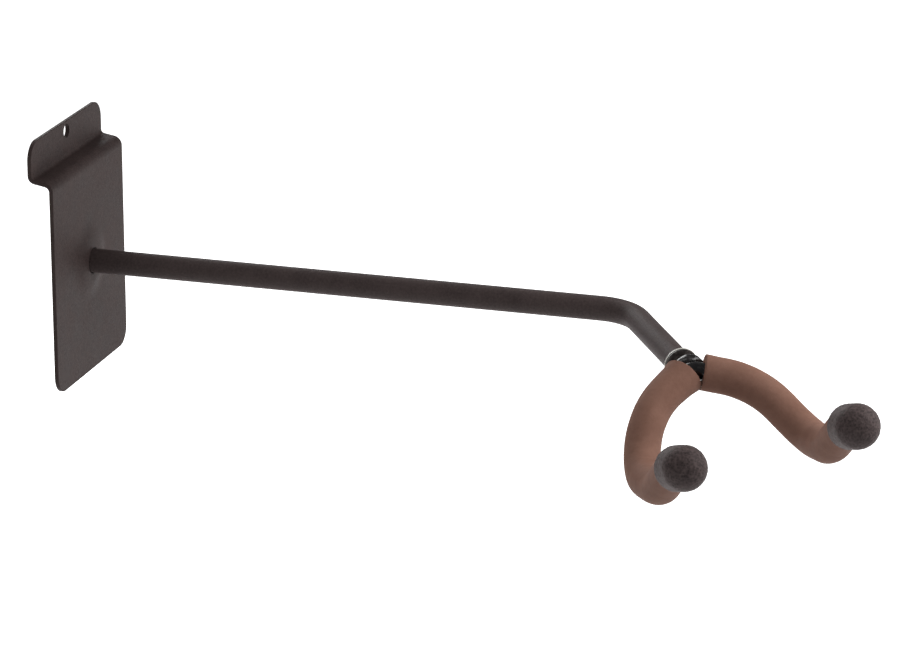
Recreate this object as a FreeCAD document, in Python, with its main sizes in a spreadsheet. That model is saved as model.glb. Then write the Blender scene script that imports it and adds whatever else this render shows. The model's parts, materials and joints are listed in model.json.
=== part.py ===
import FreeCAD, Part
import math
import os
import Sketcher

V = FreeCAD.Vector

# Slatwall guitar hanger. +X is right when facing the wall, +Y points into the wall, +Z is up.
# The origin is on the arm's axis, in the plane of the plate's back face.
# Millimetres and degrees. Each driving dimension is one aliased cell of the sheet.
DIMENSIONS = [
    ("plate_width", 84.0),      # sheet-steel back plate
    ("plate_below", 52.2),      # from the arm's axis down to the bottom edge
    ("lip_top", 65.2),          # from the arm's axis up to the lip's top edge
    ("sheet", 1.9),
    ("lip_offset", 10.1),       # back of the lip behind the back of the plate
    ("ledge_back", 45.55),      # height at which the ledge's underside leaves the back face
    ("ledge_slope", 10.0),      # degrees, falling towards the front
    ("lip_bend", 1.7),          # inner radii of the sheet's two folds
    ("brow_bend", 2.5),
    ("corner", 8.5),
    ("hole_dia", 6.6),          # hang hole in the lip
    ("hole_up", 60.5),
    ("dimple_outer", 19.5),     # radii of the pressed dimple around the arm
    ("dimple_inner", 7.4),
    ("dimple_rise", 1.6),
    ("tube_dia", 11.1),         # arm tube
    ("tube_wall", 1.2),
    ("tube_back", 0.3),         # how far its rear end stops short of the wall
    ("tube_fit", 0.5),          # radial clearance of the tube in the plate's hole
    ("arm_reach", 257.0),       # from the wall to the corner of the two straight runs
    ("arm_turn", 58.5),         # degrees, level, to the left seen from the front
    ("arm_bend", 24.0),
    ("arm_end", 76.0),          # from that corner to the tube's front end
    ("washer_dia", 14.8),
    ("washer_thick", 0.5),
    ("gap", 0.15),              # between a turning face and a fixed one
    ("journal_dia", 6.0),
    ("journal_fit", 0.05),      # radial running clearance
    ("bush_length", 8.0),
    ("bush_space", 4.0),
    ("tail_washer_dia", 8.0),
    ("tail_washer_thick", 0.8),
    ("ring_thick", 0.8),        # retaining ring and its groove
    ("ring_dia", 8.2),
    ("groove_dia", 4.8),
    ("collar_dia", 14.2),
    ("collar_thick", 1.0),
    ("neck_dia", 8.8),
    ("neck_reach", 13.2),       # from the tube's end to the neck's front end
    ("rod_ahead", 15.0),        # from the tube's end to the middle of the yoke rod
    ("rod_dia", 7.9),
    ("weld_section", 5.5),      # diameter of the weld bead's section
    ("weld_major", 3.9),
    ("weld_ahead", 11.3),
    ("weld_rise", 1.2),
    ("yoke_swivel", 8.9),       # degrees, right-hand arm raised
    ("crown_bend", 5.0),        # bend radii of the yoke rod, from its middle outwards
    ("shoulder_bend", 45.0),
    ("elbow_bend", 26.0),
    ("rise_bend", 41.5),
    ("tip_bend", 29.5),
    ("sleeve_dia", 15.4),
    ("sleeve_fit", 0.05),
    ("sleeve_start", 5.0),      # along the rod from its middle
    ("cap_dia", 18.6),          # rubber end cap: a cylinder with a ball's front half
    ("cap_skirt", 13.4),        # length of the cylinder behind the ball's centre
    ("cap_round", 1.6),
    ("cap_fit", 0.05),
    ("edge_round", 0.35),       # coating's rounding on the sheet's cut edges
]
# Corners of one yoke arm from its middle outwards: right, forward of rod_ahead, up from the axis.
YOKE_CORNERS = [
    (0, 0, 2.7),
    (24.5, 13.6, -4.9),
    (36.8, 33.3, -24.7),
    (36.7, 65.3, -18.7),
    (36.6, 91.1, -0.4),
    (36.3, 107.6, 5.6),
]

doc = FreeCAD.newDocument("guitar_hanger")
sheet = doc.addObject("Spreadsheet::Sheet", "dims")
for row, (alias, size) in enumerate(DIMENSIONS, start=1):
    sheet.set("A%d" % row, alias)
    sheet.set("B%d" % row, str(size))
    sheet.setAlias("B%d" % row, alias)
doc.recompute()

nodes = []


def dim(alias):
    """The value of one cell."""
    return float(sheet.get(alias))


def value(expression):
    """What an expression of the sheet comes to."""
    return float(sheet.evalExpression(expression))


def node(obj, name):
    """Marks an object of the document as a sub-part."""
    obj.Label = name
    nodes.append(obj)
    return obj


def new_body(name):
    body = doc.addObject("PartDesign::Body", name)
    body.Label = name
    return body


def new_sketch(body, name, plane, offset=None):
    """A sketch on one of the body's own origin planes, moved along its normal by an expression."""
    sketch = body.newObject("Sketcher::SketchObject", name)
    role = [f for f in body.Origin.OriginFeatures if f.Role == plane][0]
    sketch.AttachmentSupport = (role, "")
    sketch.MapMode = "FlatFace"
    if offset:
        sketch.setExpression("AttachmentOffset.Base.z", offset)
    return sketch


def bind(sketch, constraint, expression):
    """Adds a dimension to a sketch and ties it to the sheet."""
    index = sketch.addConstraint(constraint)
    sketch.setExpression("Constraints[%d]" % index, expression)


def circle(sketch, radius, height=None):
    """A circle on the sketch's y axis: its radius and its centre's height are expressions."""
    size = value(radius)
    up = value(height) if height else 0.0
    index = sketch.addGeometry(Part.Circle(V(0, up, 0), V(0, 0, 1), size))
    bind(sketch, Sketcher.Constraint("Radius", index, size), radius)
    if height:
        sketch.addConstraint(Sketcher.Constraint("PointOnObject", index, 3, -2))
        bind(sketch, Sketcher.Constraint("DistanceY", -1, 1, index, 3, up), height)
    else:
        sketch.addConstraint(Sketcher.Constraint("Coincident", index, 3, -1, 1))


def polygon(sketch, corners):
    """A closed outline of straight lines joined at their ends."""
    count = len(corners)
    for i in range(count):
        start = corners[i]
        end = corners[(i + 1) % count]
        sketch.addGeometry(Part.LineSegment(V(start[0], start[1], 0), V(end[0], end[1], 0)))
    for i in range(count):
        sketch.addConstraint(Sketcher.Constraint("Coincident", i, 2, (i + 1) % count, 1))


def stepped_profile(sketch, start, steps):
    """Half section of a turned piece on the sketch's y axis, all its sizes expressions.

    Each step has a radius and the y of its end, and starts where the one before it ends.
    """
    corners = [(0, value(start))]
    for radius, end in steps:
        corners.append((value(radius), corners[-1][1]))
        corners.append((value(radius), value(end)))
    corners.append((0, corners[-1][1]))
    polygon(sketch, corners)
    last = len(corners) - 1
    for i in range(last):
        kind = "Horizontal" if i % 2 == 0 else "Vertical"
        sketch.addConstraint(Sketcher.Constraint(kind, i))
    sketch.addConstraint(Sketcher.Constraint("PointOnObject", 0, 1, -2))
    sketch.addConstraint(Sketcher.Constraint("PointOnObject", last, 1, -2))
    bind(sketch, Sketcher.Constraint("DistanceY", -1, 1, 0, 1, value(start)), start)
    for i, (radius, end) in enumerate(steps):
        wall = 2 * i + 1
        bind(sketch, Sketcher.Constraint("DistanceX", -1, 1, wall, 1, value(radius)), radius)
        bind(sketch, Sketcher.Constraint("DistanceY", -1, 1, wall, 2, value(end)), end)


def feature(body, kind, name, sketch):
    result = body.newObject("PartDesign::" + kind, name)
    result.Profile = sketch
    sketch.Visibility = False
    return result


def revolve(body, kind, name, sketch, axis="V_Axis"):
    result = feature(body, kind, name, sketch)
    result.ReferenceAxis = (sketch, [axis])
    result.Angle = 360.0
    return result


def edges_where(shape, test):
    """Names of the edges whose every end and middle pass a test."""
    names = []
    for i, edge in enumerate(shape.Edges, start=1):
        middle = edge.valueAt((edge.FirstParameter + edge.LastParameter) / 2)
        if all(test(p) for p in [v.Point for v in edge.Vertexes] + [middle]):
            names.append("Edge%d" % i)
    return names


def near(a, b):
    return abs(a - b) < 1e-3


# ---- Frames of the two straight runs -----------------------------------------------------------

def end_frame():
    """Placement of the tube's front end: origin at the end's centre, -Y forward out of the tube."""
    turn = FreeCAD.Rotation(V(0, 0, 1), -dim("arm_turn"))
    corner = V(0, -dim("arm_reach"), 0)
    return FreeCAD.Placement(corner + turn.multVec(V(0, -dim("arm_end"), 0)), turn)


def yoke_frame():
    """The same frame, swivelled with the yoke."""
    swivel = FreeCAD.Rotation(V(0, 1, 0), -dim("yoke_swivel"))
    return end_frame().multiply(FreeCAD.Placement(V(0, 0, 0), swivel))


# ---- Fixed pieces ------------------------------------------------------------------------------

def back_plate():
    """Sheet bent in a Z: the plate, a ledge and the lip that hooks behind the slat."""
    body = new_body("back_plate")
    sheet_t, offset = dim("sheet"), dim("lip_offset")
    slope = math.radians(dim("ledge_slope"))
    back = dim("ledge_back")
    lift = sheet_t / math.cos(slope)
    rise = offset * math.tan(slope)
    top, bottom = dim("lip_top"), -dim("plate_below")
    profile = new_sketch(body, "z_profile", "YZ_Plane")
    polygon(profile, [
        (0, bottom),
        (0, back),
        (offset, back + rise),
        (offset, top),
        (offset - sheet_t, top),
        (offset - sheet_t, back + rise + lift - sheet_t * math.tan(slope)),
        (-sheet_t, back + lift - sheet_t * math.tan(slope)),
        (-sheet_t, bottom),
    ])
    for line in (0, 2, 4, 6):
        profile.addConstraint(Sketcher.Constraint("Vertical", line))
    for line in (3, 7):
        profile.addConstraint(Sketcher.Constraint("Horizontal", line))
    profile.addConstraint(Sketcher.Constraint("Parallel", 1, 5))
    profile.addConstraint(Sketcher.Constraint("PointOnObject", 0, 1, -2))
    bind(profile, Sketcher.Constraint("DistanceY", 0, 1, -1, 1, -bottom), "dims.plate_below")
    bind(profile, Sketcher.Constraint("DistanceY", -1, 1, 0, 2, back), "dims.ledge_back")
    bind(profile, Sketcher.Constraint("DistanceX", -1, 1, 2, 1, offset), "dims.lip_offset")
    bind(profile, Sketcher.Constraint("DistanceY", -1, 1, 2, 2, top), "dims.lip_top")
    bind(profile, Sketcher.Constraint("DistanceX", 3, 2, 3, 1, sheet_t), "dims.sheet")
    bind(profile, Sketcher.Constraint("DistanceX", 7, 1, 7, 2, sheet_t), "dims.sheet")
    bind(profile, Sketcher.Constraint("Distance", 5, 1, 1, sheet_t), "dims.sheet")
    bind(profile, Sketcher.Constraint("Angle", -1, 1, 1, 1, slope), "dims.ledge_slope * 1deg")
    pad = feature(body, "Pad", "z_pad", profile)
    pad.Midplane = True
    pad.setExpression("Length", "dims.plate_width")
    doc.recompute()

    half = dim("plate_width") / 2
    def at_corner(p):
        return near(abs(p.x), half) and (near(p.z, top) or near(p.z, bottom))

    rounded = body.newObject("PartDesign::Fillet", "sheet_corners")
    rounded.Base = (pad, edges_where(pad.Shape, at_corner))
    rounded.setExpression("Radius", "dims.corner")
    doc.recompute()

    def bend(name, base, corner, radius):
        """Rounds the fold line that runs across the sheet at a (y, z) corner."""
        lines = edges_where(base.Shape, lambda p: near(p.y, corner[0]) and near(p.z, corner[1]))
        result = body.newObject("PartDesign::Fillet", name)
        result.Base = (base, lines)
        result.setExpression("Radius", radius)
        doc.recompute()
        return result

    lip_front = offset - sheet_t
    lip_inside = (lip_front, back + lift + lip_front * math.tan(slope))
    brow_outside = (-sheet_t, back + lift - sheet_t * math.tan(slope))
    folds = {"lip": (lip_inside, (offset, back + rise)), "brow": ((0, back), brow_outside)}
    folded = rounded
    for fold, (inside, outside) in folds.items():
        radius = "dims.%s_bend" % fold
        folded = bend(fold + "_inside", folded, inside, radius)
        folded = bend(fold + "_outside", folded, outside, radius + " + dims.sheet")
    soften_outline(body, folded)

    dimple(body, "dimple_front", "Revolution", -sheet_t)
    dimple(body, "dimple_back", "Groove", 0)

    arm_hole = new_sketch(body, "arm_hole_outline", "XZ_Plane")
    circle(arm_hole, "dims.tube_dia / 2 + dims.tube_fit")
    pocket = feature(body, "Pocket", "arm_hole", arm_hole)
    pocket.Type = 1
    pocket.Midplane = True
    hang_hole = new_sketch(body, "hang_hole_outline", "XZ_Plane")
    circle(hang_hole, "dims.hole_dia / 2", "dims.hole_up")
    pocket = feature(body, "Pocket", "hang_hole", hang_hole)
    pocket.Type = 1
    pocket.Midplane = True
    return node(body, "back_plate")


def soften_outline(body, folded):
    """Rounds both edges of the cut rim all the way round the sheet."""
    half, corner = dim("plate_width") / 2, dim("corner")
    top, bottom = dim("lip_top"), -dim("plate_below")

    def on_rim(p):
        x, z = abs(p.x) - (half - corner), max(p.z - (top - corner), (bottom + corner) - p.z)
        at_corner = x > 0 and z > 0 and near(math.hypot(x, z), corner)
        return near(abs(p.x), half) or near(p.z, top) or near(p.z, bottom) or at_corner

    rim = []
    for name in edges_where(folded.Shape, on_rim):
        ends = [v.Point for v in folded.Shape.getElement(name).Vertexes]
        if math.hypot(ends[0].x - ends[-1].x, ends[0].z - ends[-1].z) > 1e-3:
            rim.append(name)
    soft = body.newObject("PartDesign::Fillet", "soft_rim")
    soft.Base = (folded, rim)
    soft.setExpression("Radius", "dims.edge_round")
    doc.recompute()


def dimple(body, name, kind, base_y):
    """A shallow pressed rise around the arm: flat top, then two equal arcs down to the sheet."""
    rise, inner, outer = dim("dimple_rise"), dim("dimple_inner"), dim("dimple_outer")
    run = outer - inner
    radius = (run * run + rise * rise) / (4 * rise)
    turn = math.asin(run / 2 / radius)
    top_y = base_y - rise
    sketch = new_sketch(body, name + "_profile", "XY_Plane")
    half_pi = math.pi / 2
    crest_circle = Part.Circle(V(inner, top_y + radius, 0), V(0, 0, 1), radius)
    foot_circle = Part.Circle(V(outer, base_y - radius, 0), V(0, 0, 1), radius)
    crest = Part.ArcOfCircle(crest_circle, -half_pi, turn - half_pi)
    foot = Part.ArcOfCircle(foot_circle, half_pi, half_pi + turn)
    sketch.addGeometry(Part.LineSegment(V(0, top_y, 0), V(inner, top_y, 0)))
    sketch.addGeometry(crest)
    sketch.addGeometry(foot)
    sketch.addGeometry(Part.LineSegment(V(outer, base_y, 0), V(0, base_y, 0)))
    sketch.addGeometry(Part.LineSegment(V(0, base_y, 0), V(0, top_y, 0)))
    sketch.addConstraint(Sketcher.Constraint("Coincident", 3, 2, 4, 1))
    sketch.addConstraint(Sketcher.Constraint("Coincident", 4, 2, 0, 1))
    sketch.addConstraint(Sketcher.Constraint("Tangent", 0, 2, 1, 1))
    sketch.addConstraint(Sketcher.Constraint("Tangent", 1, 2, 2, 2))
    sketch.addConstraint(Sketcher.Constraint("Coincident", 2, 1, 3, 1))
    sketch.addConstraint(Sketcher.Constraint("Equal", 1, 2))
    sketch.addConstraint(Sketcher.Constraint("Horizontal", 0))
    sketch.addConstraint(Sketcher.Constraint("Horizontal", 3))
    sketch.addConstraint(Sketcher.Constraint("PointOnObject", 0, 1, -2))
    sketch.addConstraint(Sketcher.Constraint("PointOnObject", 3, 2, -2))
    bind(sketch, Sketcher.Constraint("DistanceX", 0, 1, 0, 2, inner), "dims.dimple_inner")
    bind(sketch, Sketcher.Constraint("DistanceX", 3, 2, 3, 1, outer), "dims.dimple_outer")
    bind(sketch, Sketcher.Constraint("DistanceY", 4, 2, 4, 1, rise), "dims.dimple_rise")
    if base_y:
        bind(sketch, Sketcher.Constraint("DistanceY", 4, 1, -1, 1, -base_y), "dims.sheet")
    else:
        sketch.addConstraint(Sketcher.Constraint("PointOnObject", 3, 2, -1))
    revolve(body, kind, name, sketch)
    doc.recompute()


def arm_tube():
    """Round tube, straight out from the plate and then turned level to one side."""
    body = new_body("arm_tube")
    turn = math.radians(dim("arm_turn"))
    tangent = dim("arm_bend") * math.tan(turn / 2)
    bend_start = -(dim("arm_reach") - tangent)
    start = -dim("tube_back")
    centre = V(-dim("arm_bend"), bend_start, 0)
    end = end_frame().Base
    spine = new_sketch(body, "centre_line", "XY_Plane")
    spine.addGeometry(Part.LineSegment(V(0, start, 0), V(0, bend_start, 0)))
    spine.addGeometry(Part.ArcOfCircle(Part.Circle(centre, V(0, 0, 1), dim("arm_bend")), -turn, 0))
    spine.addGeometry(Part.LineSegment(spine.Geometry[1].StartPoint, end))
    spine.addConstraint(Sketcher.Constraint("PointOnObject", 0, 1, -2))
    spine.addConstraint(Sketcher.Constraint("Vertical", 0))
    spine.addConstraint(Sketcher.Constraint("Tangent", 0, 2, 1, 2))
    spine.addConstraint(Sketcher.Constraint("Tangent", 1, 1, 2, 1))
    bind(spine, Sketcher.Constraint("DistanceY", 0, 1, -1, 1, -start), "dims.tube_back")
    bind(spine, Sketcher.Constraint("Radius", 1, dim("arm_bend")), "dims.arm_bend")
    sideways = "dims.arm_end * sin(dims.arm_turn * 1deg)"
    bind(spine, Sketcher.Constraint("DistanceX", 2, 2, -1, 1, -end.x), sideways)
    reach = "dims.arm_reach + dims.arm_end * cos(dims.arm_turn * 1deg)"
    bind(spine, Sketcher.Constraint("DistanceY", 2, 2, -1, 1, -end.y), reach)
    bend = "dims.arm_reach - dims.arm_bend * tan(dims.arm_turn / 2 * 1deg)"
    bind(spine, Sketcher.Constraint("DistanceY", 0, 2, -1, 1, -bend_start), bend)
    ring = new_sketch(body, "tube_section", "XZ_Plane", "dims.tube_back")
    circle(ring, "dims.tube_dia / 2")
    circle(ring, "dims.tube_dia / 2 - dims.tube_wall")
    doc.recompute()
    pipe = feature(body, "AdditivePipe", "tube", ring)
    pipe.Spine = (spine, ["Edge1", "Edge2", "Edge3"])
    return node(body, "arm_tube")


def root_weld():
    """Fillet bead between the tube and the floor of the plate's dimple, behind the plate."""
    body = new_body("root_weld")
    radius, floor, back = dim("tube_dia") / 2, -dim("dimple_rise"), -dim("tube_back")
    leg = back - floor
    sketch = new_sketch(body, "bead_profile", "XY_Plane")
    corners = [(radius, floor), (radius + leg, floor), (radius, back)]
    polygon(sketch, corners)
    sketch.addConstraint(Sketcher.Constraint("Horizontal", 0))
    sketch.addConstraint(Sketcher.Constraint("Vertical", 2))
    sketch.addConstraint(Sketcher.Constraint("Equal", 0, 2))
    bind(sketch, Sketcher.Constraint("DistanceX", -1, 1, 0, 1, radius), "dims.tube_dia / 2")
    bind(sketch, Sketcher.Constraint("DistanceY", 0, 1, -1, 1, -floor), "dims.dimple_rise")
    bind(sketch, Sketcher.Constraint("DistanceY", 2, 1, -1, 1, -back), "dims.tube_back")
    revolve(body, "Revolution", "bead", sketch)
    return node(body, "root_weld")


def ring_piece(name, start, length, outer, inner, frame):
    """A plain ring on the pivot axis, from start to start + length along +Y.

    Each size is an expression of the sheet; outer and inner are radii, and no start means the
    tube's end.
    """
    body = new_body(name)
    sketch = new_sketch(body, name + "_section", "XZ_Plane", "-(%s)" % start if start else None)
    circle(sketch, outer)
    circle(sketch, inner)
    doc.recompute()
    pad = feature(body, "Pad", name + "_pad", sketch)
    pad.setExpression("Length", length)
    pad.Reversed = True
    doc.recompute()
    body.Placement = frame
    return node(body, name)


def pivot_rings():
    """Bushes in the tube's end, the washer on its mouth, and what keeps the stem in."""
    fixed, turning = end_frame(), yoke_frame()
    bore = "dims.tube_dia / 2 - dims.tube_wall"
    hole = "dims.journal_dia / 2 + dims.journal_fit"
    rear = "dims.bush_length + dims.bush_space"
    tail = "2 * dims.bush_length + dims.bush_space + dims.gap"
    ring_piece("front_bush", None, "dims.bush_length", bore, hole, fixed)
    ring_piece("rear_bush", rear, "dims.bush_length", bore, hole, fixed)
    ring_piece("thrust_washer", "-dims.washer_thick", "dims.washer_thick", "dims.washer_dia / 2",
               hole + " + dims.journal_fit", fixed)
    ring_piece("tail_washer", tail, "dims.tail_washer_thick", "dims.tail_washer_dia / 2", hole, turning)
    ring_piece("retaining_ring", tail + " + dims.tail_washer_thick", "dims.ring_thick",
               "dims.ring_dia / 2", "dims.groove_dia / 2", turning)


# ---- The yoke ----------------------------------------------------------------------------------

def arm_points(side):
    """Corners of one arm in the yoke's frame; side is 1 for the right-hand arm, -1 for the left."""
    return [V(side * right, -dim("rod_ahead") - forward, up) for right, forward, up in YOKE_CORNERS]


def rounded_path(points, radii):
    """Straight edges through the points with a tangent arc at each inner one."""
    edges = []
    start = points[0]
    for before, corner, after, radius in zip(points, points[1:], points[2:], radii):
        into = (corner - before).normalize()
        out = (after - corner).normalize()
        half = into.getAngle(out) / 2
        tangent = radius * math.tan(half)
        first, last = corner - into * tangent, corner + out * tangent
        middle = corner + (out - into).normalize() * (radius / math.cos(half) - radius)
        edges.append(Part.LineSegment(start, first).toShape())
        edges.append(Part.Arc(first, middle, last).toShape())
        start = last
    edges.append(Part.LineSegment(start, points[-1]).toShape())
    return Part.Wire(edges)


def sub_path(wire, start, end):
    """The stretch of a path between two distances along it."""
    edges = []
    travelled = 0.0
    for edge in wire.OrderedEdges:
        low, high = max(start - travelled, 0.0), min(end - travelled, edge.Length)
        travelled += edge.Length
        if high - low < 1e-6:
            continue
        a, b = edge.getParameterByLength(low), edge.getParameterByLength(high)
        edges.append(edge.Curve.toShape(min(a, b), max(a, b)))
    return Part.Wire(Part.__sortEdges__(edges))


def pipe(name, wire, radius):
    """A round bar swept along a path, as a sweep of a circle whose radius is an expression."""
    path = doc.addObject("Part::Feature", name + "_path")
    path.Shape = wire
    edge = wire.OrderedEdges[0]
    start = wire.OrderedVertexes[0].Point
    forward = edge.tangentAt(edge.FirstParameter)
    if (edge.valueAt(edge.FirstParameter) - start).Length > 1e-6:
        forward = edge.tangentAt(edge.LastParameter) * -1
    section = doc.addObject("Part::Circle", name + "_section")
    section.setExpression("Radius", radius)
    section.Placement = FreeCAD.Placement(start, FreeCAD.Rotation(V(0, 0, 1), forward))
    sweep = doc.addObject("Part::Sweep", name + "_sweep")
    sweep.Sections = [section]
    sweep.Spine = (path, ["Edge%d" % (i + 1) for i in range(len(wire.Edges))])
    sweep.Solid = True
    sweep.Frenet = False
    doc.recompute()
    return sweep


def boolean(kind, name, base, tool):
    result = doc.addObject("Part::" + kind, name)
    result.Base = base
    result.Tool = tool
    doc.recompute()
    return result


def full_rod_path():
    left, right = arm_points(-1), arm_points(1)
    outer = [dim("tip_bend"), dim("rise_bend"), dim("elbow_bend"), dim("shoulder_bend")]
    return rounded_path(left[::-1] + right[1:], outer + [dim("crown_bend")] + outer[::-1])


def yoke_rod(path):
    """One bar, bent to a cradle, with its middle across the pivot axis."""
    rod = pipe("yoke_rod", path, "dims.rod_dia / 2")
    rod.Placement = yoke_frame()
    return node(rod, "yoke_rod")


def yoke_stem(rod_tool):
    """Turned stem: tail with a groove, journal, collar against the washer, and a neck to the rod."""
    body = new_body("stem_turned")
    sketch = new_sketch(body, "stem_profile", "XY_Plane")
    ring = "2 * dims.bush_length + dims.bush_space + dims.gap + dims.tail_washer_thick"
    face = "-dims.washer_thick - dims.gap"
    journal = "dims.journal_dia / 2"
    stepped_profile(sketch, ring + " + 2 * dims.ring_thick", [
        (journal, ring + " + dims.ring_thick"),
        ("dims.groove_dia / 2", ring),
        (journal, face),
        ("dims.collar_dia / 2", face + " - dims.collar_thick"),
        ("dims.neck_dia / 2", "-dims.neck_reach"),
    ])
    revolve(body, "Revolution", "stem_revolve", sketch)
    doc.recompute()
    stem = boolean("Cut", "yoke_stem", body, rod_tool)
    stem.Placement = yoke_frame()
    return node(stem, "yoke_stem")


def yoke_weld(rod_tool):
    """Weld bead filling the corner between the neck and the rod, all the way round."""
    across = FreeCAD.Rotation(V(1, 0, 0), 90)
    bead = doc.addObject("Part::Torus", "weld_torus")
    bead.setExpression("Radius1", "dims.weld_major")
    bead.setExpression("Radius2", "dims.weld_section / 2")
    bead.Placement = FreeCAD.Placement(V(0, -dim("weld_ahead"), dim("weld_rise")), across)
    neck = doc.addObject("Part::Cylinder", "weld_neck")
    neck.setExpression("Radius", "dims.neck_dia / 2")
    neck.setExpression("Height", "dims.neck_reach")
    neck.Placement = FreeCAD.Placement(V(0, 0, 0), across)
    doc.recompute()
    around = boolean("Cut", "weld_around", bead, neck)
    weld = boolean("Cut", "yoke_weld", around, rod_tool)
    weld.Placement = yoke_frame()
    return node(weld, "yoke_weld")


def sleeve(side, name, path):
    """Foam tube slid over one arm, from near the crossing to the ball cap."""
    middle = path.Length / 2
    reach = middle - dim("cap_skirt") - dim("sleeve_fit")
    start, end = (middle + dim("sleeve_start"), middle + reach)
    if side < 0:
        start, end = (middle - reach, middle - dim("sleeve_start"))
    stretch = sub_path(path, start, end)
    outer = pipe(name + "_outer", stretch, "dims.sleeve_dia / 2")
    inner = pipe(name + "_bore", stretch, "dims.rod_dia / 2 + dims.sleeve_fit")
    result = boolean("Cut", name, outer, inner)
    result.Placement = yoke_frame()
    return node(result, name)


def end_cap(side, name):
    """Rubber cap with a round front and a blind bore that the rod's end fills."""
    body = new_body(name)
    ball, skirt = dim("cap_dia") / 2, dim("cap_skirt")
    sketch = new_sketch(body, name + "_profile", "XZ_Plane")
    sketch.addGeometry(Part.ArcOfCircle(Part.Circle(V(0, 0, 0), V(0, 0, 1), ball), 0, math.pi / 2))
    sketch.addGeometry(Part.LineSegment(V(0, ball, 0), V(0, -skirt, 0)))
    sketch.addGeometry(Part.LineSegment(V(0, -skirt, 0), V(ball, -skirt, 0)))
    sketch.addGeometry(Part.LineSegment(V(ball, -skirt, 0), V(ball, 0, 0)))
    for line in range(4):
        sketch.addConstraint(Sketcher.Constraint("Coincident", line, 2, (line + 1) % 4, 1))
    sketch.addConstraint(Sketcher.Constraint("Coincident", 0, 3, -1, 1))
    sketch.addConstraint(Sketcher.Constraint("PointOnObject", 0, 1, -1))
    sketch.addConstraint(Sketcher.Constraint("Vertical", 1))
    sketch.addConstraint(Sketcher.Constraint("Horizontal", 2))
    sketch.addConstraint(Sketcher.Constraint("Vertical", 3))
    bind(sketch, Sketcher.Constraint("Radius", 0, ball), "dims.cap_dia / 2")
    bind(sketch, Sketcher.Constraint("DistanceY", 1, 2, -1, 1, skirt), "dims.cap_skirt")
    solid = revolve(body, "Revolution", name + "_ball", sketch)
    doc.recompute()
    rim = edges_where(solid.Shape, lambda p: near(p.z, -skirt) and near(math.hypot(p.x, p.y), ball))
    soft = body.newObject("PartDesign::Fillet", name + "_rim")
    soft.Base = (solid, rim)
    soft.setExpression("Radius", "dims.cap_round")
    doc.recompute()
    bore = new_sketch(body, name + "_bore_outline", "XY_Plane", "-dims.cap_skirt")
    circle(bore, "dims.rod_dia / 2 + dims.cap_fit")
    pocket = feature(body, "Pocket", name + "_bore", bore)
    pocket.Reversed = True
    pocket.setExpression("Length", "dims.cap_skirt + dims.cap_fit")
    before = soft.Shape.Volume
    doc.recompute()
    if body.Shape.Volume > before - 1:
        raise RuntimeError(name + ": the bore cuts nothing")
    points = arm_points(side)
    aim = FreeCAD.Placement(points[-1], FreeCAD.Rotation(V(0, 0, 1), points[-1] - points[-2]))
    body.Placement = yoke_frame().multiply(aim)
    return node(body, name)


back_plate()
root_weld()
arm_tube()
pivot_rings()
rod_path = full_rod_path()
yoke_rod(rod_path)
# A second sweep of the rod in the yoke's own frame, where the stem and the weld are cut to it.
rod_tool = pipe("rod_tool", rod_path, "dims.rod_dia / 2")
yoke_stem(rod_tool)
yoke_weld(rod_tool)
for arm_side, arm_name in ((-1, "left"), (1, "right")):
    sleeve(arm_side, "sleeve_" + arm_name, rod_path)
    end_cap(arm_side, "end_cap_" + arm_name)

doc.recompute()
for item in doc.Objects:
    if "Invalid" in item.State or "Error" in item.State:
        raise RuntimeError("%s is %s" % (item.Label, item.State))
for item in nodes:
    if item.Shape.isNull() or not item.Shape.isValid() or not item.Shape.Solids:
        raise RuntimeError("%s has a bad shape" % item.Label)

os.makedirs("parts", exist_ok=True)
for item in nodes:
    item.Shape.exportStep(os.path.join("parts", item.Label + ".step"))
    box = item.Shape.BoundBox
    print("%-16s %9.1f mm3  x %.1f %.1f  y %.1f %.1f  z %.1f %.1f" % (
        item.Label, item.Shape.Volume, box.XMin, box.XMax, box.YMin, box.YMax, box.ZMin, box.ZMax))
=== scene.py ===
import json
import math

import bmesh
import bpy
from mathutils import Matrix, Vector, noise


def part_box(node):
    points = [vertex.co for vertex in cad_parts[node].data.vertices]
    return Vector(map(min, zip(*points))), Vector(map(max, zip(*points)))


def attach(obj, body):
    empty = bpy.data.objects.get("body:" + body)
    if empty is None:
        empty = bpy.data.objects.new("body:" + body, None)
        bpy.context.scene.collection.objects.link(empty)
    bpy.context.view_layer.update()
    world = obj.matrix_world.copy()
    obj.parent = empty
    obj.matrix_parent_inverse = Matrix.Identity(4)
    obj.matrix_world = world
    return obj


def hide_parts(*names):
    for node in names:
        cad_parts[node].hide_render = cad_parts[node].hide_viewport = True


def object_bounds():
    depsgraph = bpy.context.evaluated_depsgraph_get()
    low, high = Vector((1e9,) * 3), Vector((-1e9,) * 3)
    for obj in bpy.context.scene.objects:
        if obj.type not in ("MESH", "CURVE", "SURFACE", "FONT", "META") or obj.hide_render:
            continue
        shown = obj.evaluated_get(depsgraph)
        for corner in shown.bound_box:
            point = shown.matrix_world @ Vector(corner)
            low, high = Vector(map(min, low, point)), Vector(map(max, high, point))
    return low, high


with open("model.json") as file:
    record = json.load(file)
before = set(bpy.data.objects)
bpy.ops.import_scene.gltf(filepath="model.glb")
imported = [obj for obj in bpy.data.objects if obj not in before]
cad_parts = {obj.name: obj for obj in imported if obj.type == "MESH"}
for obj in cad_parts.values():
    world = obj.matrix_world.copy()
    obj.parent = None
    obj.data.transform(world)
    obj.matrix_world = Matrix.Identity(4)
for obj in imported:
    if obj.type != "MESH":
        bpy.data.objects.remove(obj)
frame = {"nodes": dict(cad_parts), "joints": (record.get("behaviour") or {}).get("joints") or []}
cad_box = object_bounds()
nodes = frame["nodes"]
joint = frame["joints"][0]

MM = 0.001
UP = Vector((0, 0, 1))

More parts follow.
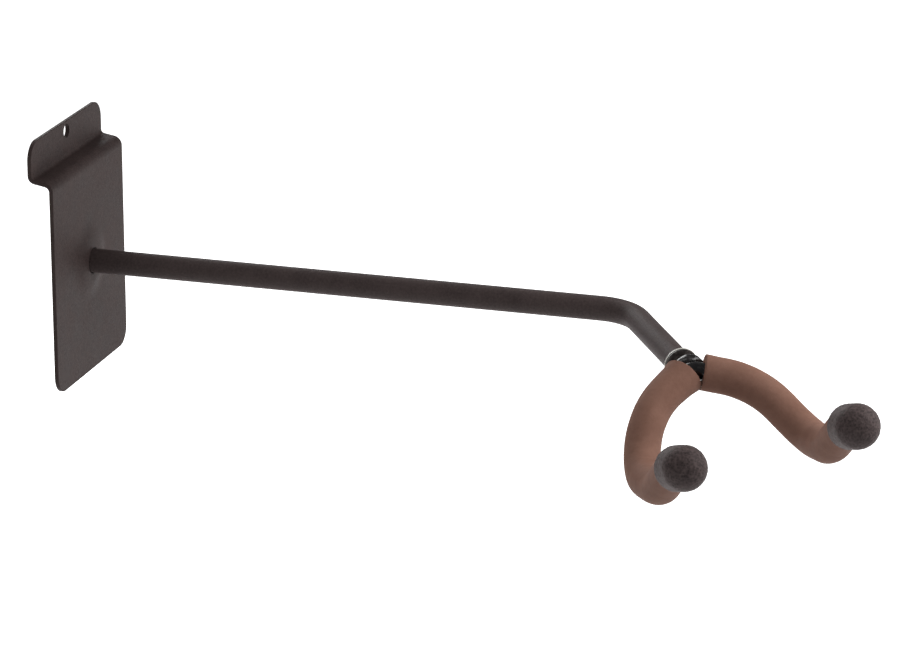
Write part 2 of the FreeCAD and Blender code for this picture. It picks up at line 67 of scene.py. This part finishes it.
# ---- The yoke's frame and centre line -------------------------------------------------------------
# Lengths below are in millimetres, right, forward and up from the pivot point, and become metres
# in the model's own frame only when a mesh is written.

PIVOT = Vector(joint["pos_m"])
FORWARD = Vector(joint["axis"]).normalized()
LEVEL = UP.cross(FORWARD)
SWIVEL = math.radians(8.9)                  # right-hand arm raised
RIGHT = LEVEL * math.cos(SWIVEL) + UP * math.sin(SWIVEL)
RISE = UP * math.cos(SWIVEL) - LEVEL * math.sin(SWIVEL)

YOKE_CORNERS = [                            # of the rod, before its bends are rounded
    (0, 0, 2.7),
    (24.5, 13.6, -4.9),
    (36.8, 33.3, -24.7),
    (36.7, 65.3, -18.7),
    (36.6, 91.1, -0.4),
    (36.3, 107.6, 5.6),
]
CROWN_BEND = 5.0                            # bend radii, from the rod's middle outwards
OUTER_BENDS = (45.0, 26.0, 41.5, 29.5)      # shoulder, elbow, rise, tip
ROUTE_STEP = 0.4
EASING = 40
TUBE_END = 15.0                             # from the tube's end to the pivot point

FOAM_RADIUS = 7.7
FOAM_BORE = 4.0
FOAM_RIM = 0.35                             # rounding of the foam's outer edges
CAP_RADIUS = 9.3
CAP_SKIRT = 13.4                            # length of the cylinder behind the ball's centre
CAP_ROUND = 1.6
CAP_BORE = 4.0
BUTT_GAP = 0.05                             # between the foam's end and the cap

HUB_WELD_AHEAD = 11.3                       # from the tube's end
HUB_WELD_RISE = 1.2


def in_yoke(right, forward, up):
    """A place in the yoke's frame, as a point of the model in metres."""
    return PIVOT + (RIGHT * right + FORWARD * forward + RISE * up) * MM


def rounded_line(points, radii, step):
    """Points a step apart along straight runs that are joined by tangent arcs."""
    line = [points[0]]

    def run_to(end):
        start = line[-1]
        count = max(1, round((end - start).length / step))
        line.extend(start.lerp(end, i / count) for i in range(1, count + 1))

    for before, corner, after, radius in zip(points, points[1:], points[2:], radii):
        into = (corner - before).normalized()
        out = (after - corner).normalized()
        turn = into.angle(out)
        first = corner - into * radius * math.tan(turn / 2)
        inward = (out - into * into.dot(out)).normalized()
        centre = first + inward * radius
        run_to(first)
        count = max(2, round(turn * radius / step))
        for i in range(1, count + 1):
            angle = turn * i / count
            line.append(centre - inward * radius * math.cos(angle) + into * radius * math.sin(angle))
    run_to(points[-1])
    return line


def eased(line, passes):
    """The line with its changes of bend spread out, its two ends kept."""
    for _ in range(passes):
        inner = [(a + b * 2 + c) / 4 for a, b, c in zip(line, line[1:], line[2:])]
        line = [line[0], *inner, line[-1]]
    return line


class Route:
    """A line that can be asked for a place and a level-kept frame at a distance along it."""

    def __init__(self, line):
        self.line = line
        self.marks = [0.0]
        for a, b in zip(line, line[1:]):
            self.marks.append(self.marks[-1] + (b - a).length)
        self.length = self.marks[-1]
        last = len(line) - 1
        self.ways = [(line[min(i + 1, last)] - line[max(i - 1, 0)]).normalized() for i in range(last + 1)]
        self.sides = [UP.cross(self.ways[0]).normalized()]
        for way in self.ways[1:]:
            side = self.sides[-1]
            self.sides.append((side - way * side.dot(way)).normalized())

    def frame_at(self, distance):
        """Place, direction and two directions square to it, sideways and up, at a distance."""
        distance = min(max(distance, 0.0), self.length)
        low, high = 0, len(self.marks) - 1
        while high - low > 1:
            middle = (low + high) // 2
            if self.marks[middle] <= distance:
                low = middle
            else:
                high = middle
        share = (distance - self.marks[low]) / (self.marks[high] - self.marks[low])
        place = self.line[low].lerp(self.line[high], share)
        ahead = self.ways[low].lerp(self.ways[high], share).normalized()
        side = self.sides[low].lerp(self.sides[high], share)
        side = (side - ahead * side.dot(ahead)).normalized()
        return place, ahead, side, ahead.cross(side)


def arm_route(side):
    """The rod's centre line from its middle out along one arm; side is 1 for right, -1 for left."""
    corners = [Vector((side * right, forward, up)) for right, forward, up in YOKE_CORNERS]
    across = [Vector((-side * YOKE_CORNERS[1][0], *YOKE_CORNERS[1][1:])), *corners]
    line = eased(rounded_line(across, (CROWN_BEND, *OUTER_BENDS), ROUTE_STEP), EASING)
    middle = min(range(len(line)), key=lambda i: abs(line[i].x))
    return Route(line[middle:])


# ---- Mesh helpers ---------------------------------------------------------------------------------

def mesh_object(name, places, faces):
    """A smooth-shaded object from points in metres, with its faces turned outwards."""
    mesh = bpy.data.meshes.new(name)
    mesh.from_pydata(places, [], faces)
    shell = bmesh.new()
    shell.from_mesh(mesh)
    bmesh.ops.recalc_face_normals(shell, faces=shell.faces)
    shell.to_mesh(mesh)
    shell.free()
    mesh.polygons.foreach_set("use_smooth", [True] * len(mesh.polygons))
    mesh.update()
    piece = bpy.data.objects.new(name, mesh)
    bpy.context.scene.collection.objects.link(piece)
    return piece


def ring_faces(rings, around, closed):
    """Quads between rings of points; closed joins the last ring to the first."""
    faces = []
    for i in range(rings if closed else rings - 1):
        a, b = i * around, ((i + 1) % rings) * around
        for j in range(around):
            k = (j + 1) % around
            faces.append((a + j, a + k, b + k, b + j))
    return faces


def fan(tip, first, around):
    """Triangles that close a ring with one point."""
    return [(tip, first + j, first + (j + 1) % around) for j in range(around)]


def arc(centre_s, centre_r, radius, start, end, count):
    """Points (s, r) of an arc between two angles in degrees."""
    points = []
    for i in range(count + 1):
        angle = math.radians(start + (end - start) * i / count)
        points.append((centre_s + radius * math.cos(angle), centre_r + radius * math.sin(angle)))
    return points


def straight(start, end, step):
    """Points (s, r) from start to end, both left out."""
    span = math.hypot(end[0] - start[0], end[1] - start[1])
    count = max(2, math.ceil(span / step))
    return [(start[0] + (end[0] - start[0]) * i / count, start[1] + (end[1] - start[1]) * i / count)
            for i in range(1, count)]


# ---- Foam sleeves ---------------------------------------------------------------------------------

def foam_sleeve(side, name, start, flare, lean):
    """Foam tube slid over one arm: a cut end near the hub, its other end butted to the cap.

    start is where the cut is, along the rod from its middle; flare is how far the foam opens
    there, and lean how far the cut leans, as a slope in each direction of the yoke's frame.
    Flare, lean and the cut's roughness all fade out within a few millimetres of it.
    """
    route = arm_route(side)
    end = route.length - CAP_SKIRT - BUTT_GAP
    around = 96
    rim = FOAM_RIM
    profile = arc(start + rim, FOAM_RADIUS - rim, rim, 180, 90, 5)
    profile += straight((start + rim, FOAM_RADIUS), (end - rim, FOAM_RADIUS), 0.6)
    profile += arc(end - rim, FOAM_RADIUS - rim, rim, 90, 0, 5)
    profile += straight((end, FOAM_RADIUS - rim), (end, FOAM_BORE + 0.2), 0.8)
    profile += arc(end - 0.2, FOAM_BORE + 0.2, 0.2, 0, -90, 2)
    profile += straight((end - 0.2, FOAM_BORE), (start + 0.2, FOAM_BORE), 2.0)
    profile += arc(start + 0.2, FOAM_BORE + 0.2, 0.2, 270, 180, 2)
    profile += straight((start, FOAM_BORE + 0.2), (start, FOAM_RADIUS - rim), 0.5)

    flare_fade, rough_fade, lean_fade = 5.0, 0.6, 4.0
    places = []
    for s, r in profile:
        place, ahead, aside, above = route.frame_at(s)
        skin = (r - FOAM_BORE) / (FOAM_RADIUS - FOAM_BORE)
        opened = flare * math.exp(-(s - start) / flare_fade)
        for j in range(around):
            angle = 2 * math.pi * j / around
            outward = aside * math.cos(angle) + above * math.sin(angle)
            spot = place + outward * r
            swell = 0.11 * noise.noise(spot * 0.11) + 0.035 * noise.noise(spot * 0.6)
            ragged = 0.10 * noise.noise(spot * 0.9) * math.exp(-(s - start) / rough_fade)
            slant = (spot - place).dot(Vector(lean)) * math.exp(-(s - start) / lean_fade)
            local = spot + outward * skin * (opened + swell) + ahead * (skin * ragged + slant)
            places.append(in_yoke(*local))
    return mesh_object(name, places, ring_faces(len(profile), around, True))


# ---- End caps -------------------------------------------------------------------------------------

def end_cap(side, name):
    """Moulded rubber cap with a pebbled skin: a short cylinder with a ball's front.

    Its outline runs from the ball's front back along the skirt, then in and along the blind bore.
    """
    route = arm_route(side)
    centre, ahead, aside, above = route.frame_at(route.length)
    around = 168
    wall = CAP_RADIUS
    bore_edge = 0.3
    bore_end = 0.05
    profile = arc(0, 0, wall, 2.0, 90, 46)
    profile += straight((0, wall), (-CAP_SKIRT + CAP_ROUND, wall), 0.33)
    profile += arc(-CAP_SKIRT + CAP_ROUND, wall - CAP_ROUND, CAP_ROUND, 90, 180, 7)
    profile += straight((-CAP_SKIRT, wall - CAP_ROUND), (-CAP_SKIRT, CAP_BORE + bore_edge), 0.5)
    profile += arc(-CAP_SKIRT + bore_edge, CAP_BORE + bore_edge, bore_edge, 180, 270, 3)
    profile += straight((-CAP_SKIRT + bore_edge, CAP_BORE), (0, CAP_BORE), 1.5)
    profile.append((bore_end, CAP_BORE))

    def pebble(spot):
        """Height of the moulded texture in millimetres."""
        cells = noise.voronoi(spot * 0.95)[0]
        return 0.14 * (cells[0] - 0.45) + 0.11 * noise.noise(spot * 1.7) + 0.06 * noise.noise(spot * 0.5)

    places = []
    for s, r in profile:
        skin = 1.0 if r > CAP_BORE + 1.0 or s > 0.2 else 0.0        # the bore stays smooth
        for j in range(around):
            angle = 2 * math.pi * j / around
            outward = aside * math.cos(angle) + above * math.sin(angle)
            spot = centre + ahead * s + outward * r
            normal = (ahead * s + outward * r).normalized() if s > 0 else outward
            places.append(in_yoke(*(spot + normal * skin * pebble(spot))))
    faces = ring_faces(len(profile), around, False)
    for s, ring in ((wall, 0), (bore_end, (len(profile) - 1) * around)):
        spot = centre + ahead * s
        places.append(in_yoke(*(spot + ahead * (pebble(spot) if s == wall else 0))))
        faces += fan(len(places) - 1, ring, around)
    return mesh_object(name, places, faces)


# ---- Weld beads -----------------------------------------------------------------------------------

def weld_bead(name, centre, axis, across, radii, section, ripples, lump, start_angle, unevenness):
    """A ring of overlapping weld ripples about an axis; sizes are in millimetres, centre in metres.

    radii are the ring's along the direction across and square to it, and section is the bead's
    own radius. lump is how far each ripple stands out, and unevenness how much the bead wanders.
    """
    beside = axis.cross(across)
    around, through = 168, 40
    places = []
    for i in range(around):
        turn = 2 * math.pi * i / around
        phase = (ripples * (turn + start_angle) / (2 * math.pi)) % 1.0
        ripple = math.sqrt(max(0.0, 1.0 - (2 * phase - 1) ** 2 * 0.9))
        out = across * math.cos(turn) + beside * math.sin(turn)
        ring = across * math.cos(turn) * radii[0] + beside * math.sin(turn) * radii[1]
        for j in range(through):
            angle = 2 * math.pi * j / through
            face = out * math.cos(angle) + axis * math.sin(angle)
            spot = ring + face * section
            bulge = lump * (ripple - 0.7)
            bulge += unevenness * noise.noise(spot * 0.45) + 0.05 * noise.noise(spot * 1.7)
            places.append(centre + (spot + face * bulge) * MM)
    return mesh_object(name, places, ring_faces(around, through, True))


# ---- Materials ------------------------------------------------------------------------------------

class Paintbox:
    """A Principled material with short ways to add procedural detail. Sizes are in millimetres."""

    def __init__(self, name, roughness, specular=0.5, metallic=0.0):
        self.material = bpy.data.materials.new(name)
        self.material.use_nodes = True
        self.tree = self.material.node_tree
        self.shader = self.tree.nodes["Principled BSDF"]
        self.set("Roughness", roughness)
        self.set("Specular IOR Level", specular)
        self.set("Metallic", metallic)
        self.place = self.add("ShaderNodeTexCoord").outputs["Object"]

    def add(self, kind, **values):
        node = self.tree.nodes.new(kind)
        for key, value in values.items():
            setattr(node, key, value)
        return node

    def link(self, output, target):
        self.tree.links.new(output, target)

    def set(self, socket, value):
        self.shader.inputs[socket].default_value = value

    def speckle(self, size, detail=2.0, rough=0.5, warp=0.0):
        """Noise with patches about this many millimetres across."""
        node = self.add("ShaderNodeTexNoise")
        node.inputs["Scale"].default_value = 1 / (size * MM)
        node.inputs["Detail"].default_value = detail
        node.inputs["Roughness"].default_value = rough
        node.inputs["Distortion"].default_value = warp
        self.link(self.place, node.inputs["Vector"])
        return node.outputs["Fac"]

    def cells(self, size):
        """Distance from the centres of irregular cells about this many millimetres across."""
        node = self.add("ShaderNodeTexVoronoi", feature="SMOOTH_F1")
        node.inputs["Scale"].default_value = 1 / (size * MM)
        self.link(self.place, node.inputs["Vector"])
        return node.outputs["Distance"]

    def spread(self, value, low, high, to_low=0.0, to_high=1.0):
        """Maps a range of a value to another range, clamped."""
        node = self.add("ShaderNodeMapRange")
        self.link(value, node.inputs["Value"])
        node.inputs["From Min"].default_value = low
        node.inputs["From Max"].default_value = high
        node.inputs["To Min"].default_value = to_low
        node.inputs["To Max"].default_value = to_high
        return node.outputs["Result"]

    def blend(self, share, first, second):
        """Colour between two, each a colour or an earlier colour output."""
        node = self.add("ShaderNodeMix", data_type="RGBA")
        self.link(share, node.inputs["Factor"])
        for socket, color in ((node.inputs[6], first), (node.inputs[7], second)):
            if isinstance(color, tuple):
                socket.default_value = (*color, 1.0)
            else:
                self.link(color, socket)
        return node.outputs[2]

    def sum(self, first, second, weight):
        """first + second * weight."""
        node = self.add("ShaderNodeMath", operation="MULTIPLY_ADD")
        self.link(second, node.inputs[0])
        node.inputs[1].default_value = weight
        self.link(first, node.inputs[2])
        return node.outputs[0]

    def edges(self, width):
        """1 along convex and concave edges within about this many millimetres, else 0."""
        bevel = self.add("ShaderNodeBevel", samples=6)
        bevel.inputs["Radius"].default_value = width * MM
        plain = self.add("ShaderNodeNewGeometry").outputs["Normal"]
        dot = self.add("ShaderNodeVectorMath", operation="DOT_PRODUCT")
        self.link(bevel.outputs["Normal"], dot.inputs[0])
        self.link(plain, dot.inputs[1])
        return self.spread(dot.outputs["Value"], 0.995, 0.85)

    def bump(self, height, depth, strength=1.0):
        """Relief of this depth in millimetres."""
        node = self.add("ShaderNodeBump")
        node.inputs["Strength"].default_value = strength
        node.inputs["Distance"].default_value = depth * MM
        self.link(height, node.inputs["Height"])
        self.link(node.outputs["Normal"], self.shader.inputs["Normal"])

    def color(self, output):
        self.link(output, self.shader.inputs["Base Color"])

    def roughness(self, output):
        self.link(output, self.shader.inputs["Roughness"])


def powder_coat(name, dark, light, edge_shade):
    """Fine matte powder coat: orange-peel grain, faint clouding, and painted shade along its edges and
    creases.
    """
    paint = Paintbox(name, 0.6, specular=0.1)
    fine = paint.speckle(0.35, 3.0, 0.6)
    peel = paint.speckle(1.1, 2.0)
    cloud = paint.speckle(14.0, 3.0, 0.55, warp=0.3)
    tone = paint.sum(paint.sum(cloud, fine, 0.7), peel, 0.8)
    body = paint.blend(paint.spread(tone, 0.95, 1.55), dark, light)
    # painted shade: the colour darkens along edges and creases
    paint.color(paint.blend(paint.edges(0.7), body, edge_shade))
    paint.roughness(paint.spread(paint.sum(fine, cloud, 0.6), 0.5, 1.1, 0.5, 0.72))
    paint.bump(paint.sum(fine, peel, 0.9), 0.14, 0.7)
    return paint.material


def gloss_paint(name, dark, light, smooth, rough, relief):
    """Thick black paint over turned or welded steel: runs and pits soften the reflections."""
    paint = Paintbox(name, smooth, specular=0.5)
    cloud = paint.speckle(3.2, 3.0, 0.6, warp=0.5)
    fine = paint.speckle(0.8, 3.0, 0.6)
    paint.color(paint.blend(paint.spread(paint.sum(cloud, fine, 0.5), 0.6, 0.95), dark, light))
    paint.roughness(paint.spread(cloud, 0.3, 0.7, smooth, rough))
    paint.bump(paint.sum(cloud, fine, 0.25), relief, 0.6)
    return paint.material


def bright_zinc():
    """Zinc plating with fine rolled grain and a few dull patches."""
    metal = Paintbox("zinc_plate", 0.3, metallic=1.0)
    grain = metal.speckle(0.25, 4.0, 0.7)
    patch = metal.speckle(2.4, 2.0)
    metal.color(metal.blend(metal.spread(patch, 0.35, 0.7), (0.78, 0.72, 0.70), (0.62, 0.58, 0.57)))
    metal.roughness(metal.spread(metal.sum(patch, grain, 0.5), 0.5, 1.0, 0.24, 0.42))
    metal.bump(grain, 0.01, 0.6)
    return metal.material


def nylon():
    """Natural moulded nylon with faint flow marks."""
    plastic = Paintbox("natural_nylon", 0.42)
    flow = plastic.speckle(2.0, 2.0, 0.5, warp=1.2)
    fine = plastic.speckle(0.3, 2.0)
    plastic.color(plastic.blend(plastic.spread(flow, 0.3, 0.7), (0.74, 0.72, 0.65), (0.86, 0.85, 0.80)))
    plastic.roughness(plastic.spread(fine, 0.3, 0.7, 0.36, 0.5))
    plastic.bump(plastic.sum(flow, fine, 0.4), 0.03, 0.5)
    return plastic.material


def foam_skin():
    """Brown closed-cell foam: smooth skin with faint mottling and fine open pores."""
    foam = Paintbox("brown_foam", 0.62, specular=0.02)
    cloud = foam.speckle(9.0, 3.0, 0.55, warp=0.4)
    mottle = foam.speckle(1.6, 3.0, 0.6)
    pores = foam.cells(0.42)
    tone = foam.sum(foam.sum(cloud, mottle, 0.4), pores, 0.16)
    foam.color(foam.blend(foam.spread(tone, 0.5, 1.0), (0.200, 0.106, 0.078), (0.252, 0.138, 0.103)))
    foam.roughness(foam.spread(mottle, 0.3, 0.7, 0.56, 0.7))
    foam.bump(foam.sum(mottle, pores, 0.5), 0.06, 0.45)
    return foam.material


def cap_rubber():
    """Black moulded rubber with a coarse matte texture, its pebbles painted lighter on their high spots
    and darker in their dips as painted highlight and shade.
    """
    rubber = Paintbox("black_rubber", 0.6, specular=0.1)
    pebble = rubber.cells(0.9)
    fine = rubber.speckle(0.5, 3.0, 0.6)
    cloud = rubber.speckle(2.4, 2.0, 0.5, warp=0.4)
    # painted highlight and shade: the pebble cells make the high spots lighter and the dips darker
    tone = rubber.sum(rubber.sum(pebble, fine, 0.4), cloud, 0.9)
    rubber.color(rubber.blend(rubber.spread(tone, 0.7, 1.5), (0.040, 0.029, 0.029), (0.106, 0.078, 0.076)))
    rubber.roughness(rubber.spread(fine, 0.3, 0.7, 0.58, 0.72))
    rubber.bump(rubber.sum(pebble, fine, 0.6), 0.12, 0.6)
    return rubber.material


def wear(piece, material):
    """Gives a new piece its one material."""
    piece.data.materials.clear()
    piece.data.materials.append(material)


# One powder coat in two copies: the plate's is painted darker as painted shade, and the tube's is painted
# lighter as painted light.
plate_coat_shaded = powder_coat(
    "plate_coat_shaded", dark=(0.032, 0.0215, 0.0205), light=(0.060, 0.0415, 0.039), edge_shade=(0.027, 0.018, 0.017))
tube_coat_lit = powder_coat(
    "tube_coat_lit", dark=(0.047, 0.034, 0.033), light=(0.076, 0.056, 0.054), edge_shade=(0.049, 0.037, 0.036))
rod_black = gloss_paint(
    "gloss_black", dark=(0.003, 0.003, 0.004), light=(0.010, 0.008, 0.009),
    smooth=0.12, rough=0.26, relief=0.06)
# The stem's black paint is coloured a lighter, mottled grey: a painted reflection on the collar's face.
stem_black_painted_reflection = gloss_paint(
    "stem_black_painted_reflection", dark=(0.014, 0.011, 0.010), light=(0.070, 0.058, 0.054),
    smooth=0.30, rough=0.5, relief=0.3)
weld_black = gloss_paint(
    "weld_black", dark=(0.006, 0.005, 0.005), light=(0.022, 0.018, 0.018),
    smooth=0.22, rough=0.36, relief=0.08)
zinc = bright_zinc()
white_nylon = nylon()
foam = foam_skin()
rubber = cap_rubber()

NODE_MATERIALS = {
    "back_plate": plate_coat_shaded,
    "arm_tube": tube_coat_lit,
    "front_bush": white_nylon,
    "rear_bush": white_nylon,
    "thrust_washer": white_nylon,
    "tail_washer": zinc,
    "retaining_ring": zinc,
    "yoke_stem": stem_black_painted_reflection,
    "yoke_rod": rod_black,
}
for node_name, material in NODE_MATERIALS.items():
    for material_slot in nodes[node_name].material_slots:
        material_slot.material = material

# ---- Pieces ---------------------------------------------------------------------------------------

SLEEVES = (         # side, its name, and the foam's start, flare and lean
    (-1, "left", 4.1, 1.0, (0, -0.14, 0.11)),
    (1, "right", 4.7, 0.1, (-0.05, 0.24, 0.10)),
)
for side, side_name, start, flare, lean in SLEEVES:
    sleeve = foam_sleeve(side, "foam_sleeve_" + side_name, start, flare, lean)
    wear(sleeve, foam)
    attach(sleeve, "yoke")
    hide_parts("sleeve_" + side_name)

    cap = end_cap(side, "rubber_cap_" + side_name)
    wear(cap, rubber)
    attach(cap, "yoke")
    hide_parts("end_cap_" + side_name)

hub_weld = weld_bead(
    "hub_weld_bead", in_yoke(0, HUB_WELD_AHEAD - TUBE_END, HUB_WELD_RISE), FORWARD, RIGHT,
    radii=(4.5, 3.9), section=2.85, ripples=5, lump=0.25, start_angle=0.6, unevenness=0.25)
wear(hub_weld, weld_black)
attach(hub_weld, "yoke")
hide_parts("yoke_weld")

weld_low, weld_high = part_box("root_weld")
weld_centre = (weld_low + weld_high) / 2
ring_radius = (weld_high.x - weld_low.x) / 2 / MM - 0.9
root_weld = weld_bead(
    "root_weld_bead", weld_centre, Vector((0, 1, 0)), Vector((1, 0, 0)),
    radii=(ring_radius, ring_radius), section=0.8, ripples=22, lump=0.2, start_angle=0.0, unevenness=0.12)
wear(root_weld, plate_coat_shaded)
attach(root_weld, "bracket")
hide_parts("root_weld")

# ---- Camera, floor and light ----------------------------------------------------------------------

scene = bpy.context.scene
camera = bpy.data.objects.new("camera", bpy.data.cameras.new("camera"))
scene.collection.objects.link(camera)
camera.location = (-1.6842, -0.6971, 0.5622)
camera.rotation_euler = (math.radians(90 - 18.11), 0, math.radians(-72.75))
camera.data.sensor_width = 36
camera.data.lens = 165.95
scene.camera = camera


def pale_floor(height, reach):
    """A large near-white floor that only the camera and reflections see, and that casts no shadow."""
    square = ((-reach, -reach), (reach, -reach), (reach, reach), (-reach, reach))
    floor = mesh_object("floor", [(x, y, height) for x, y in square], [(0, 1, 2, 3)])
    paper = Paintbox("floor_paper", 0.9, specular=0.1)
    paper.color(paper.blend(paper.speckle(60.0), (0.93, 0.93, 0.93), (0.96, 0.96, 0.96)))
    paper.set("Emission Color", (1.0, 1.0, 1.0, 1.0))
    paper.set("Emission Strength", 1.0)
    wear(floor, paper.material)
    floor.visible_diffuse = False
    floor.visible_shadow = False


def soft_light(name, place, target, size, power):
    """A square white area light at a place, turned to a target; metres and watts."""
    lamp = bpy.data.lights.new(name, "AREA")
    lamp.size = size
    lamp.energy = power
    holder = bpy.data.objects.new(name, lamp)
    scene.collection.objects.link(holder)
    aim = (target - place).to_track_quat("-Z", "Y").to_matrix().to_4x4()
    holder.matrix_world = Matrix.Translation(place) @ aim
    holder.visible_camera = False


pale_floor(-0.45, 30.0)
middle = (cad_box[0] + cad_box[1]) / 2
soft_light("key", middle + Vector((1.1, -1.3, 0.35)), middle, 1.4, 8.0)
soft_light("overhead", middle + Vector((-0.6, 0.5, 1.2)), middle, 0.9, 4.2)
soft_light("rim", middle + Vector((1.2, 1.1, 0.7)), middle, 1.2, 18.0)
soft_light("near", in_yoke(0, 40, 0) + Vector((0.07, -0.31, 0.25)), in_yoke(0, 70, 0), 0.35, 1.8)
soft_light("bounce", middle + Vector((0.0, 0.0, -0.4)), middle, 2.0, 5.3)

world = bpy.data.worlds.new("studio")
world.use_nodes = True
world.node_tree.nodes["Background"].inputs["Color"].default_value = (1, 1, 1, 1)
world.node_tree.nodes["Background"].inputs["Strength"].default_value = 0.19
scene.world = world
scene.view_settings.view_transform = "Standard"
